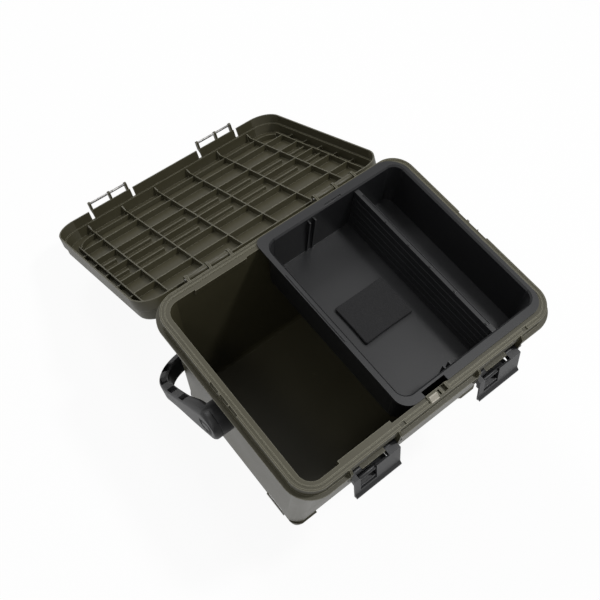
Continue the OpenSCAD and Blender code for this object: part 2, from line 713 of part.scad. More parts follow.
module lid_shell() {
    knuckle_l = (hinge_pin_l - 2 - 3 * ear_t) / 2 - 2 * hinge_gap;
    color(olive) lid_open() difference() {
        union() {
            difference() {
                lid_outside();
                upright_box(skirt_in_x, skirt_in_y, rim_r + skirt_gap, skirt_z - 1, body_h + 0.8);
                upright_box(skirt_in_x - lid_side_t, skirt_in_y - lid_side_t, rim_r + skirt_gap - lid_side_t,
                    body_h, lid_under);
                // skirt slots that straddle the latch cheeks
                for (xc = [-latch_x, latch_x], x = [lever_left - side_gap - cheek_t, lever_right + side_gap])
                    translate([xc + x - 1.2, -lip_y - 20, skirt_z - 1]) cube([cheek_t + 2.4, 19.2, lip_h + 1]);
            }
            lid_ribs();
            // hinge barrels
            for (side = [-1, 1], k = [-1, 1])
                let (mid = side * hinge_x + k * (knuckle_l + ear_t + 2 * hinge_gap) / 2) {
                    rod_x(mid - knuckle_l / 2, mid + knuckle_l / 2, hinge_y, hinge_z, barrel_r);
                    across(mid - knuckle_l / 2, mid + knuckle_l / 2)
                        polygon([[skirt_in_y + 0.5, body_h - 3], [skirt_in_y + 0.5, skirt_z + 0.3],
                            [lip_y + flange_w + 1, skirt_z + 0.3], [hinge_y - barrel_r * 0.8, hinge_z + barrel_r * 0.3],
                            [hinge_y + barrel_r * 0.6, hinge_z + barrel_r * 0.8]]);
                }
            // lugs that hold the catch rods
            for (xc = [-latch_x, latch_x], x = lug_x) {
                rod_x(xc + x, xc + x + lug_w, rod_y, rod_z, latch_pin_r + 1.45);
                across(xc + x, xc + x + lug_w)
                    polygon([[lid_front + skirt_t / 2, body_h - 6], [rod_y - latch_pin_r - 1.45, body_h - 14],
                        [rod_y - latch_pin_r - 1.45, rod_z], [rod_y + latch_pin_r + 1.45, rod_z],
                        [rod_y + latch_pin_r + 1.45, skirt_z], [lid_front + skirt_t / 2, skirt_z]]);
            }
        }
        for (side = [-1, 1])
            rod_x(side * hinge_x - hinge_pin_l, side * hinge_x + hinge_pin_l, hinge_y, hinge_z,
                hinge_pin_r + turn_fit);
        for (xc = [-latch_x, latch_x])
            rod_x(xc + lever_left - 5, xc + lever_right + 5, rod_y, rod_z, latch_pin_r + seat_fit);
    }
}

module catch_rod(xc) {
    color(steel) lid_open()
        rod_x(xc + lug_x[0] - 0.5, xc + lug_x[2] + lug_w + 0.5, rod_y, rod_z, latch_pin_r);
}

// Turns a piece drawn on a shut lever to where the loose lever hangs.
module lever_loose() {
    translate([0, pin_y, pin_z]) rotate([-lever_rest_deg, 0, 0]) translate([0, -pin_y, -pin_z]) children();
}

module latch_lever(xc) {
    face_y = pin_y - lever_in;
    color(black) translate([xc, 0, 0]) lever_loose() difference() {
        union() {
            // hand plate with a turned-out lower edge
            translate([lever_left, face_y - lever_t, pin_z - lever_h]) cube([lever_w, lever_t, lever_h + 1.5]);
            across(lever_left, lever_right)
                polygon([[face_y, pin_z - lever_h + 5], [face_y - lever_t - 3, pin_z - lever_h],
                    [face_y - lever_t - 3, pin_z - lever_h + 2], [face_y - lever_t, pin_z - lever_h + 6]]);
            for (x = [lever_left, lever_right - barrel_len])
                rod_x(x, x + barrel_len, pin_y, pin_z, 4.5);
            for (x = [[lever_left, lever_left + 8], [lever_right - barrel_len, lever_right]])
                across(x[0], x[1])
                    polygon([[pin_y, pin_z + 4.3], [face_y - lever_t, pin_z + 1.5], [face_y - lever_t, pin_z - 10],
                        [face_y + 0.1, pin_z - 10], [pin_y, pin_z - 4.4]]);
            // a pan behind the window and a lip along its top
            difference() {
                across(claw_left - side_gap - pan_t, claw_right + side_gap + pan_t)
                    polygon([[face_y - 0.5, pan_top], [face_y - 0.5, pin_z - 29 - pan_t],
                        [pan_y + pan_t, pin_z - 29 - pan_t], [pan_y + pan_t, pan_top]]);
                across(claw_left - side_gap, claw_right + side_gap)
                    polygon([[face_y - 1, pan_top + 1], [face_y - 1, pin_z - 29], [pan_y, pin_z - 29],
                        [pan_y, pan_top + 1]]);
            }
            across(claw_left - side_gap - pan_t, lever_right - barrel_len + 1)
                polygon([[pan_y, pan_top], [pan_y, pan_top - pan_t], [pin_y + 6, pan_top - pan_t],
                    [pin_y + 6, pan_top]]);
            across(claw_right + side_gap, lever_right - barrel_len + 1)
                polygon([[face_y - 0.5, pan_top], [face_y - 0.5, pan_top - pan_t], [pan_y + 1, pan_top - pan_t],
                    [pan_y + 1, pan_top]]);
            // bosses for the claw's pin
            rod_x(claw_left - 3.5, claw_left - side_gap, pin_y + claw_dy, pin_z + claw_dz, claw_pin_r + 1.7);
            rod_x(claw_right + side_gap, claw_right + 4.5, pin_y + claw_dy, pin_z + claw_dz, claw_pin_r + 1.7);
        }
        // window that the claw swings through
        translate([claw_left - side_gap, face_y - lever_t - 1, pin_z - 29])
            cube([claw_w + 2 * side_gap, lever_t + 2, 40]);
        rod_x(lever_left - 1, lever_right + 1, pin_y, pin_z, latch_pin_r + turn_fit);
        rod_x(claw_left - 5, claw_right + 6, pin_y + claw_dy, pin_z + claw_dz, claw_pin_r + seat_fit);
    }
}

module latch_pin(xc) {
    knob_x = lever_right + side_gap + cheek_t + 0.3;
    color(black) {
        rod_x(xc + lever_left - side_gap - cheek_t, xc + knob_x + 1, pin_y, pin_z, latch_pin_r);
        rod_x(xc + knob_x, xc + knob_x + 5, pin_y, pin_z, 5);
    }
}

// Where the claw's pin is while the lever hangs loose.
claw_y = pin_y + claw_dy * cos(lever_rest_deg) + claw_dz * sin(lever_rest_deg);
claw_z = pin_z - claw_dy * sin(lever_rest_deg) + claw_dz * cos(lever_rest_deg);

// The claw is drawn hooked over the shut catch rod, then turned over to hang from the loose lever.
module latch_claw(xc) {
    by = pin_y + claw_dy;
    bz = pin_z + claw_dz;
    reach = rod_z + latch_pin_r + 0.35;
    inner = rod_y - latch_pin_r - 0.35;
    back = rod_y + latch_pin_r + 0.35;
    color(black) translate([xc, claw_y, claw_z]) rotate([180, 0, 0]) translate([0, -by, -bz])
        difference() {
            union() {
                rod_x(claw_left, claw_right, by, bz, 3.4);
                across(claw_left, claw_right)
                    polygon([[inner - 2.5, bz], [inner - 2.5, reach + 1.2], [inner - 1.2, reach + 2.4],
                        [back + 1.8, reach + 2.4], [back + 1.8, reach - 1.6], [back, reach - 1.6],
                        [back, reach], [inner, reach], [inner, bz]]);
            }
            rod_x(claw_left - 1, claw_right + 1, by, bz, claw_pin_r + turn_fit);
        }
}

module claw_pin(xc) {
    color(steel) rod_x(xc + claw_left - 3.5, xc + claw_right + 4.5, claw_y, claw_z, claw_pin_r);
}

// The tray's rim is wider at the back and cut away round the padlock fitting.
module tray_rim() {
    z0 = body_h + rest_gap;
    radii = [22, 26, 36, 12];
    corners = [[tray_x0, tray_y0], [tray_x1, tray_y0], [tray_x1, tray_y1], [tray_x0, tray_y1]];
    centres = [for (k = [0 : 3]) [corners[k][0] + (k == 0 || k == 3 ? 1 : -1) * radii[k],
        corners[k][1] + (k < 2 ? 1 : -1) * radii[k]]];
    translate([0, 0, z0]) linear_extrude(tray_rim_t) {
        for (k = [0 : 3]) translate(centres[k]) circle(r = radii[k]);
        polygon([[tray_x0, centres[0][1]], [centres[0][0], tray_y0], [centres[1][0], tray_y0],
            [tray_x1, centres[1][1]], [tray_x1, centres[2][1]], [centres[2][0], tray_y1],
            [centres[3][0], tray_y1], [tray_x0, centres[3][1]]]);
    }
}

module tray() {
    z0 = tray_floor;
    z1 = body_h + rest_gap + tray_rim_t;
    color(black) difference() {
        union() {
            leaning_box(tray_in_x0 - tray_t, tray_in_x1 + tray_t, tray_in_y0 - tray_t, tray_in_y1 + tray_t,
                tray_in_r + tray_t, tray_lean, z0 - tray_t, body_h + rest_gap + eps);
            tray_rim();
            // raised rail along the left rim
            translate([tray_x0 + 2.2, -32, z1 - eps]) cube([2, 126, 1.4]);
        }
        difference() {
            union() {
                leaning_box(tray_in_x0, tray_in_x1, tray_in_y0, tray_in_y1, tray_in_r, tray_lean,
                    z0, body_h + rest_gap + eps);
                leaning_box(tray_in_x0 - tray_flare, tray_in_x1 + tray_flare, tray_in_y0 - tray_flare,
                    tray_in_y1 + tray_flare, tray_in_r + tray_flare, tray_flare, body_h + rest_gap, z1);
                leaning_box(tray_in_x0 - tray_flare, tray_in_x1 + tray_flare, tray_in_y0 - tray_flare,
                    tray_in_y1 + tray_flare, tray_in_r + tray_flare, 0, z1 - eps, z1 + 2);
            }
            // guides for a second cross wall
            for (x = [36, 46], side = [-1, 1])
                translate([x - 1, side > 0 ? tray_in_y1 - tray_lean - 2 : tray_in_y0 - 1, z0 - 1])
                    cube([2, tray_lean + 3, tray_depth - 3]);
        }
        translate([-lock_w / 2 + 2, tray_y0 - 1, body_h - 1]) cube([lock_w + 5, 9.4, 6]);
        translate([68, tray_in_y1 + tray_flare - eps, body_h + rest_gap + 1.2]) cube([31, 3, 4]);
    }
}

// The divider is an inverted trough; its sides step out from the top bar to the tray floor.
module divider() {
    n = divider_ledges;
    top_z = divider_top - 4;
    foot_z = tray_floor + rest_gap;
    step_z = (top_z - foot_z) / n;
    step_x = (divider_foot_w - divider_top_w) / 2 / n;
    edge = [for (k = [0 : n - 1]) each [[divider_top_w / 2 + k * step_x, top_z - k * step_z],
        [divider_top_w / 2 + (k + 1) * step_x - 0.4, top_z - (k + 0.75) * step_z],
        [divider_top_w / 2 + (k + 1) * step_x, top_z - (k + 0.8) * step_z]]];
    left = [for (k = [len(edge) - 1 : -1 : 0]) [-edge[k][0], edge[k][1]]];
    in_top = divider_top_w / 2 - 2.2;
    in_foot = divider_foot_w / 2 - 2.6;
    color(black) difference() {
        union() {
            intersection() {
                translate([divider_x, tray_in_y1 + 1, 0]) rotate([90, 0, 0])
                    linear_extrude(tray_in_y1 - tray_in_y0 + 2)
                        difference() {
                            polygon(concat([[-divider_top_w / 2, divider_top], [divider_top_w / 2, divider_top]],
                                edge, [[divider_foot_w / 2, foot_z], [-divider_foot_w / 2, foot_z]], left));
                            polygon([[-in_top, top_z - 3], [in_top, top_z - 3], [in_foot, foot_z - 1],
                                [-in_foot, foot_z - 1]]);
                        }
                leaning_box(tray_in_x0 + side_gap, tray_in_x1 - side_gap, tray_in_y0 + side_gap,
                    tray_in_y1 - side_gap, tray_in_r, tray_lean, tray_floor, body_h + rest_gap);
            }
            // nibs on the top bar
            for (y = [80, 31, -13, -62, -124])
                translate([divider_x - divider_top_w / 2 + 1, y - 2, divider_top - eps]) cube([3, 4, 1.6]);
        }
        // a shallow channel along the top bar
        translate([divider_x + divider_top_w * 0.12, tray_in_y0 + 12, divider_top - 1.2])
            cube([divider_top_w * 0.27, tray_in_y1 - tray_in_y0 - 24, 2]);
    }
}

module tray_pad() {
    color(black)
        leaning_box(pad_x - pad_w / 2, pad_x + pad_w / 2, pad_y - pad_d / 2, pad_y + pad_d / 2, 3, 0,
            tray_floor + eps, tray_floor + pad_t);
}

body_shell();
corner_feet();
lock_plate();
pivot_housing(-1);  // pivot_housing_left
pivot_housing(1);  // pivot_housing_right
pivot_pin(-1);  // pivot_pin_left
pivot_pin(1);  // pivot_pin_right
handle_bail();
lid_shell();
catch_rod(-latch_x);  // catch_rod_left
catch_rod(latch_x);  // catch_rod_right
hinge_pin(-1);  // hinge_pin_left
hinge_pin(1);  // hinge_pin_right
latch_lever(-latch_x);  // latch_lever_left
latch_lever(latch_x);  // latch_lever_right
latch_pin(-latch_x);  // latch_pin_left
latch_pin(latch_x);  // latch_pin_right
latch_claw(-latch_x);  // latch_claw_left
latch_claw(latch_x);  // latch_claw_right
claw_pin(-latch_x);  // claw_pin_left
claw_pin(latch_x);  // claw_pin_right
tray();
divider();
tray_pad();
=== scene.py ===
"""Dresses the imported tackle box: its finishes, carry handle, lid rib and foam pad, and the studio."""

import json
import logging
import math
from dataclasses import dataclass
from enum import Enum
from typing import Any, Optional, Sequence, Union

import bmesh
import bpy
import numpy as np
from mathutils import Matrix, Vector

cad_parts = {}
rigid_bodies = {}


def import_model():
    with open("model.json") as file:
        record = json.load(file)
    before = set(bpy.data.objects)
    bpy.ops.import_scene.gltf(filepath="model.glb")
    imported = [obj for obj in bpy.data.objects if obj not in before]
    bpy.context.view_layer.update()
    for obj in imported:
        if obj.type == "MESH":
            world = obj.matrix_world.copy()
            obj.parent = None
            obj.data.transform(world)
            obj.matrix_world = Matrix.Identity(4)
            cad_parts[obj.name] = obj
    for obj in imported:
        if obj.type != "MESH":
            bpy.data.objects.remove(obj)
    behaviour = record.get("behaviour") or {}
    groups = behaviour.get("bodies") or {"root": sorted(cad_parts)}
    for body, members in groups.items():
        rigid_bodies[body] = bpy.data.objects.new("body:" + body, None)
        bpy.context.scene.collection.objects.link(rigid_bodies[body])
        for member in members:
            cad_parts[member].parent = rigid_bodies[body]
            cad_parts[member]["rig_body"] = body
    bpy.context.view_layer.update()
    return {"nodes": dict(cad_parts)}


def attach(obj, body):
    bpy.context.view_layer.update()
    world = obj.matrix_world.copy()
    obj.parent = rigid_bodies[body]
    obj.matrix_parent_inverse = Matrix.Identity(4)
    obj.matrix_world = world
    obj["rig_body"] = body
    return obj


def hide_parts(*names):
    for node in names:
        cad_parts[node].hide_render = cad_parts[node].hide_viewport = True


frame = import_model()

LOG = logging.getLogger("tackle_box")
MM = 0.001
MERGE = 1e-6
WELD = 1e-5

Pair = tuple[float, float]
Triple = tuple[float, float, float]
Skin = tuple[np.ndarray, np.ndarray]


# ---------------------------------------------------------------- shader maths


class Sum:
    """A number socket of a shader graph that takes part in Python sums."""

    def __init__(self, graph: "Graph", socket: Any) -> None:
        """Keeps the graph and the socket that the value comes out of."""
        self.graph = graph
        self.socket = socket

    def _with(self, operation: str, first: Any, second: Any) -> "Sum":
        """Adds one Math node for an operation on two values."""
        return self.graph.add("ShaderNodeMath", {"operation": operation}, {0: first, 1: second})

    def __add__(self, other: Any) -> "Sum":
        """Returns self + other."""
        return self._with("ADD", self, other)

    def __sub__(self, other: Any) -> "Sum":
        """Returns self - other."""
        return self._with("SUBTRACT", self, other)

    def __rsub__(self, other: Any) -> "Sum":
        """Returns other - self."""
        return self._with("SUBTRACT", other, self)

    def __mul__(self, other: Any) -> "Sum":
        """Returns self * other."""
        return self._with("MULTIPLY", self, other)

    __radd__ = __add__
    __rmul__ = __mul__

    def ease(self, low: float, high: float) -> "Sum":
        """Turns the value into 0 below low, 1 above high, and a smooth step between."""
        return self.graph.add("ShaderNodeMapRange", {"interpolation_type": "SMOOTHSTEP"},
                              {"Value": self, "From Min": low, "From Max": high}, out="Result")

    def largest(self, other: Any) -> "Sum":
        """Returns the larger of self and other."""
        return self._with("MAXIMUM", self, other)


class Graph:
    """The node graph of a material or of the surroundings, built up by expressions."""

    def __init__(self, owner: Union[str, bpy.types.NodeTree]) -> None:
        """Starts an empty graph.

        Args:
            owner: The name of a new material, or the node tree to empty and use.
        """
        if isinstance(owner, str):
            self.material = bpy.data.materials.new(owner)
            self.material.use_nodes = True
            owner = self.material.node_tree
        self.tree = owner
        self.tree.nodes.clear()

    def add(self, kind: str, settings: Optional[dict[str, Any]] = None,
            inputs: Optional[dict[Union[str, int], Any]] = None,
            out: Union[str, int, None] = 0) -> Optional[Sum]:
        """Adds a node of any type.

        Args:
            kind: The node's type, such as ShaderNodeTexNoise.
            settings: Its properties, which are set before any socket.
            inputs: Values or links of its sockets, by name or place.
            out: The output socket to give back, by name or place, or None for a node with no output.

        Returns:
            The output socket, wrapped, if there is one.
        """
        node = self.tree.nodes.new(kind)
        for key, value in (settings or {}).items():
            setattr(node, key, value)
        for key, value in (inputs or {}).items():
            self._feed(node.inputs[key], value)
        return None if out is None else Sum(self, node.outputs[out])

    def _feed(self, socket: Any, value: Any) -> None:
        """Links or sets one input socket.

        Args:
            socket: The input socket.
            value: A wrapped socket to link, or a plain number, colour or vector.
        """
        if isinstance(value, Sum):
            self.tree.links.new(value.socket, socket)
        elif isinstance(value, tuple) and len(value) == 3 and socket.type == "RGBA":
            socket.default_value = (*value, 1.0)
        else:
            socket.default_value = value

    def place(self, scale: Optional[Triple] = None) -> Sum:
        """Object coordinates, stretched along each axis where a scale is given."""
        where = self.add("ShaderNodeTexCoord", out="Object")
        return where if scale is None else self.add("ShaderNodeMapping", {},
                                                    {"Vector": where, "Scale": scale})

    def noise(self, where: Sum, scale: float, detail: float = 2.0, rough: float = 0.5) -> Sum:
        """Smooth noise from 0 to 1 with features about 1/scale metres wide."""
        return self.add("ShaderNodeTexNoise", {}, {"Vector": where, "Scale": scale, "Detail": detail,
                                                   "Roughness": rough}, out="Fac")

    def cells(self, where: Sum, scale: float) -> Sum:
        """Distance to the nearest of scattered points about 1/scale metres apart."""
        return self.add("ShaderNodeTexVoronoi", {}, {"Vector": where, "Scale": scale}, out="Distance")

    def blend(self, share: Any, first: Any, second: Any) -> Sum:
        """Mixes two colours by a share from 0 to 1."""
        return self.add("ShaderNodeMix", {"data_type": "RGBA"}, {0: share, 6: first, 7: second}, out=2)

    def relief(self, height: Sum, depth: float, under: Optional[Sum] = None) -> Sum:
        """A normal bent by a height from 0 to 1 that is depth metres deep, on top of the normal under it."""
        below = {} if under is None else {"Normal": under}
        return self.add("ShaderNodeBump", {}, {"Height": height, "Distance": depth, **below}, out="Normal")

    def finish(self, shader: Sum) -> bpy.types.Material:
        """Sends a shader to the material's output and returns the material."""
        self.add("ShaderNodeOutputMaterial", {}, {"Surface": shader}, out=None)
        return self.material


# -------------------------------------------------------------------- finishes


class Slot(Enum):
    """The record's material slots."""

    OLIVE = "olive_plastic"
    BLACK = "black_plastic"
    TRAY = "tray_plastic"
    HANDLE = "handle_plastic"
    # the pale slot carries a painted highlight: light on the lock plate's sloped face
    PALE_HIGHLIGHT = "pale_plastic"
    STEEL = "steel"
    FOAM = "foam"


@dataclass(frozen=True)
class MouldedPlastic:
    """Textured polypropylene: cloudy colour, spark-eroded grain, faint scuffs, and sharp edges lightened by a
    painted highlight.

    Scales are in features per metre, widths and depths in metres. A step is the pair of values between
    which a mask rises from 0 to 1.
    """

    slot: Slot
    colour: Triple
    shade: Triple
    # scuff colour: used both by the scuff streaks and by the painted highlight on the sharp edges
    scuff_and_highlight: Triple
    cloud_scale: float = 14.0
    speck_scale: float = 420.0
    cloud_share: float = 0.7
    streak_scale: Triple = (60.0, 60.0, 900.0)
    streak_step: Pair = (0.66, 0.78)
    patch_scale: float = 30.0
    patch_step: Pair = (0.5, 0.7)
    scuff_share: float = 0.35
    scuff_gloss: float = 0.08
    edge_width: float = 0.0009
    edge_samples: int = 6
    edge_step: Pair = (0.015, 0.22)
    edge_highlight_share: float = 0.55
    roughness: float = 0.45
    roughness_spread: float = 0.12
    grain_scale: float = 1400.0
    grain_depth: float = 0.00006
    grain_share: float = 0.6
    cell_ratio: float = 0.55
    wave_scale: float = 9.0
    wave_depth: float = 0.0004
    specular: float = 0.34

    def edge_highlight(self, g: Graph) -> Sum:
        """A mask of the sharp edges, where the painted highlight goes: 1 where the surface's normal is far
        from that of the rounded surface.

        Args:
            g: The material's graph.

        Returns:
            The mask.
        """
        rounded = g.add("ShaderNodeBevel", {"samples": self.edge_samples}, {"Radius": self.edge_width},
                        out="Normal")
        facing = g.add("ShaderNodeNewGeometry", out="Normal")
        alike = g.add("ShaderNodeVectorMath", {"operation": "DOT_PRODUCT"}, {0: rounded, 1: facing},
                      out="Value")
        return (1 - alike).ease(*self.edge_step)

    def build(self) -> bpy.types.Material:
        """Builds the material from its values.

        Returns:
            The material.
        """
        g = Graph(self.slot.value)
        here = g.place()
        cloud = g.noise(here, self.cloud_scale, detail=3.0)
        speck = g.noise(here, self.speck_scale)
        streak = g.noise(g.place(self.streak_scale), 1.0, detail=3.0, rough=0.6)
        rub = streak.ease(*self.streak_step) * g.noise(here, self.patch_scale).ease(*self.patch_step)
        tone = g.blend(cloud * self.cloud_share + speck * (1 - self.cloud_share), self.shade, self.colour)
        tint = g.blend(rub * self.scuff_share, tone, self.scuff_and_highlight)
        # painted highlight: the sharp edges are lightened towards the scuff colour to stand in for light
        # catching them
        tint = g.blend(self.edge_highlight(g) * self.edge_highlight_share, tint, self.scuff_and_highlight)
        rough = (cloud - 0.5) * self.roughness_spread + self.roughness + rub * -self.scuff_gloss
        pits = g.cells(here, self.grain_scale * self.cell_ratio)
        grain = g.noise(here, self.grain_scale, rough=0.6) * self.grain_share + pits * (1 - self.grain_share)
        wave = g.relief(g.noise(here, self.wave_scale, detail=1.0), self.wave_depth)
        return g.finish(g.add("ShaderNodeBsdfPrincipled", {}, {
            "Base Color": tint, "Roughness": rough, "Normal": g.relief(grain, self.grain_depth, under=wave),
            "Specular IOR Level": self.specular}))


@dataclass(frozen=True)
class BrushedSteel:
    """Drawn steel wire: long fine lines along X, slightly dulled by stains."""

    slot: Slot = Slot.STEEL
    colour: Triple = (0.2, 0.195, 0.19)
    dull: Triple = (0.09, 0.088, 0.082)
    line_scale: Triple = (40.0, 2600.0, 2600.0)
    line_depth: float = 0.00002
    line_rough: float = 0.16
    stain_scale: float = 160.0
    stain_step: Pair = (0.5, 0.75)
    stain_share: float = 0.6
    stain_rough: float = 0.15
    roughness: float = 0.26

    def build(self) -> bpy.types.Material:
        """Builds the material from its values.

        Returns:
            The material.
        """
        g = Graph(self.slot.value)
        line = g.noise(g.place(self.line_scale), 1.0, detail=3.0)
        stain = g.noise(g.place(), self.stain_scale, detail=3.0).ease(*self.stain_step)
        return g.finish(g.add("ShaderNodeBsdfPrincipled", {}, {
            "Base Color": g.blend(stain * self.stain_share, self.colour, self.dull), "Metallic": 1.0,
            "Roughness": line * self.line_rough + self.roughness + stain * self.stain_rough,
            "Normal": g.relief(line, self.line_depth)}))


@dataclass(frozen=True)
class CellFoam:
    """Closed-cell foam: matt, pitted by small cells, a little paler on the walls between them."""

    slot: Slot = Slot.FOAM
    colour: Triple = (0.0052, 0.0052, 0.0056)
    rim: Triple = (0.016, 0.016, 0.017)
    cell_scale: float = 900.0
    wall_step: Pair = (0.25, 0.7)
    wall_share: float = 0.6
    fluff_scale: float = 2200.0
    fluff_share: float = 0.3
    roughness: float = 0.78
    roughness_spread: float = 0.15
    pit_share: float = 0.7
    pit_depth: float = 0.0005
    specular: float = 0.3

    def build(self) -> bpy.types.Material:
        """Builds the material from its values.

        Returns:
            The material.
        """
        g = Graph(self.slot.value)
        here = g.place()
        pits = g.cells(here, self.cell_scale)
        fluff = g.noise(here, self.fluff_scale, detail=3.0, rough=0.7)
        pale = pits.ease(*self.wall_step) * self.wall_share + fluff * self.fluff_share
        return g.finish(g.add("ShaderNodeBsdfPrincipled", {}, {
            "Base Color": g.blend(pale, self.colour, self.rim), "Specular IOR Level": self.specular,
            "Roughness": fluff * self.roughness_spread + self.roughness,
            "Normal": g.relief(pits * self.pit_share + fluff * (1 - self.pit_share), self.pit_depth)}))


@dataclass(frozen=True)
class Palette:
    """Every finish on the box, by the record's slot."""

    # olive: its wide, strong edge mask paints highlight lines along the thin rib tops
    olive: MouldedPlastic = MouldedPlastic(
        Slot.OLIVE, colour=(0.050, 0.0455, 0.0255), shade=(0.036, 0.0325, 0.0175), scuff_and_highlight=(0.23, 0.22, 0.165),
        roughness=0.44, scuff_share=0.12, edge_width=0.0013, edge_highlight_share=0.9)
    black: MouldedPlastic = MouldedPlastic(
        Slot.BLACK, colour=(0.0105, 0.0108, 0.0115), shade=(0.0078, 0.0080, 0.0088),
        scuff_and_highlight=(0.075, 0.075, 0.078), roughness=0.42)
    tray: MouldedPlastic = MouldedPlastic(
        Slot.TRAY, colour=(0.0100, 0.0103, 0.0112), shade=(0.0076, 0.0078, 0.0086),
        scuff_and_highlight=(0.07, 0.07, 0.073), roughness=0.4)
    handle: MouldedPlastic = MouldedPlastic(
        Slot.HANDLE, colour=(0.0115, 0.0115, 0.0120), shade=(0.0085, 0.0086, 0.0092),
        scuff_and_highlight=(0.085, 0.085, 0.087), roughness=0.46, grain_depth=0.00009)
    # pale: a painted highlight colour, standing in for light on the lock plate's sloped face
    pale: MouldedPlastic = MouldedPlastic(
        Slot.PALE_HIGHLIGHT, colour=(0.34, 0.32, 0.27), shade=(0.27, 0.25, 0.21), scuff_and_highlight=(0.45, 0.44, 0.40),
        roughness=0.5)
    steel: BrushedSteel = BrushedSteel()
    foam: CellFoam = CellFoam()

    def build(self) -> dict[Slot, bpy.types.Material]:
        """Builds every material.

        Returns:
            The materials by slot.
        """
        finishes = (self.olive, self.black, self.tray, self.handle, self.pale, self.steel, self.foam)
        return {finish.slot: finish.build() for finish in finishes}


# ---------------------------------------------------------------------- meshes


def lattice(points: np.ndarray, around: bool) -> Skin:
    """Turns a grid of points into vertices and quads.

    Vertex i * n + j is point (i, j); quad (i, j) joins it to the next row and the next column, and the
    columns wrap round where around is set.

    Args:
        points: An array of shape (m, n, 3).
        around: Whether the last column joins the first.

    Returns:
        The (m * n, 3) vertices and the (k, 4) quads.
    """
    m, n = points.shape[:2]
    i, j = np.meshgrid(np.arange(m - 1), np.arange(n if around else n - 1), indexing="ij")
    k = (j + 1) % n
    quads = np.stack([i * n + j, (i + 1) * n + j, (i + 1) * n + k, i * n + k], axis=-1)
    return points.reshape(-1, 3), quads.reshape(-1, 4)


def joined(parts: Sequence[Skin]) -> Skin:
    """Puts several skins into one, shifting each part's quads past the vertices before it."""
    starts = np.cumsum([0] + [len(v) for v, _ in parts[:-1]])
    return np.concatenate([v for v, _ in parts]), np.concatenate([q + s for (_, q), s in zip(parts, starts)])


def ring(count: int, corner_share: float = 0.55) -> Skin:
    """The two unit curves whose weighted sum is a rounded rectangle.

    A rounded rectangle of half sizes (a, b) and corner radius r is (a - r, b - r) * square + r * circle.
    Along a side the square's point moves and the circle's stays; round a corner it is the other way.

    Args:
        count: Points in the ring, a multiple of four.
        corner_share: Share of the points that go to the corners.

    Returns:
        The square and circle curves, each (count, 2), turning anticlockwise from the middle of the +a side.
    """
    t = np.arange(count) / count * 4.0
    side = np.floor(t + 0.5).astype(int) % 4
    local = (t + 0.5) % 1.0 - 0.5
    half_flat = (1 - corner_share) / 2
    along = np.clip(local / half_flat, -1, 1)
    past = np.sign(local) * np.clip(np.abs(local) - half_flat, 0, None)
    turn = (side + past / corner_share) * (math.pi / 2)
    out = np.stack([np.cos(side * math.pi / 2), np.sin(side * math.pi / 2)], axis=-1)
    across = np.stack([-out[:, 1], out[:, 0]], axis=-1)
    return out + across * along[:, None], np.stack([np.cos(turn), np.sin(turn)], axis=-1)


def step(values: np.ndarray, low: float, high: float) -> np.ndarray:
    """Smooth step: 0 below low, 1 above high, and 3t^2 - 2t^3 between."""
    t = np.clip((values - low) / (high - low), 0, 1)
    return t * t * (3 - 2 * t)


def into_object(name: str, parts: Sequence[Skin], flat_deg: float = 35.0) -> bpy.types.Object:
    """Makes a closed, outward-facing, smooth-shaded object from skins in metres.

    Doubles are merged first, which closes seams and poles, and then the normals are recalculated.

    Args:
        name: The piece's name.
        parts: Vertices and quads of each part.
        flat_deg: Edges sharper than this stay sharp.

    Returns:
        The new object, linked to the scene.
    """
    vertices, quads = joined(parts)
    mesh = bpy.data.meshes.new(name)
    mesh.from_pydata(vertices, [], quads)
    shape = bmesh.new()
    shape.from_mesh(mesh)
    bmesh.ops.remove_doubles(shape, verts=shape.verts, dist=MERGE)
    bmesh.ops.recalc_face_normals(shape, faces=shape.faces)
    shape.to_mesh(mesh)
    shape.free()
    mesh.shade_smooth()
    mesh.set_sharp_from_angle(angle=math.radians(flat_deg))
    piece = bpy.data.objects.new(name, mesh)
    bpy.context.scene.collection.objects.link(piece)
    return piece


def wear(piece: bpy.types.Object, body: str, slot: Slot, stuff: dict[Slot, bpy.types.Material]) -> None:
    """Gives a new piece its material, slot and body.

    Args:
        piece: The new piece.
        body: The body that it rides on.
        slot: Its material slot.
        stuff: The materials by slot.
    """
    piece.data.materials.append(stuff[slot])
    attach(piece, body)
    LOG.info("%s rides on %s in %s", piece.name, body, slot.value)


# ---------------------------------------------------------------- sub-assemblies


@dataclass
class Moulding:
    """A CAD node that keeps its shape: merged in the modifier stack, its sharp edges broken, and dressed.

    The edge is how far each sharp edge is cut back, in millimetres.
    """

    node: str
    slot: Slot
    edge: float
    segments: int = 2
    limit_deg: float = 40.0

    def build(self, stuff: dict[Slot, bpy.types.Material]) -> None:
        """Adds the modifiers and the material.

        Args:
            stuff: The materials by slot.
        """
        piece = frame["nodes"][self.node]
        piece.data.materials.clear()
        piece.data.materials.append(stuff[self.slot])
        piece.data.polygons.foreach_set("material_index", np.zeros(len(piece.data.polygons), np.int32))
        weld = piece.modifiers.new("weld", "WELD")
        weld.merge_threshold = WELD
        bevel = piece.modifiers.new("edge", "BEVEL")
        bevel.width = self.edge * MM
        bevel.segments = self.segments
        bevel.limit_method = "ANGLE"
        bevel.angle_limit = math.radians(self.limit_deg)
        bevel.miter_outer = "MITER_ARC"
        LOG.info("%s keeps its shape in %s", self.node, self.slot.value)


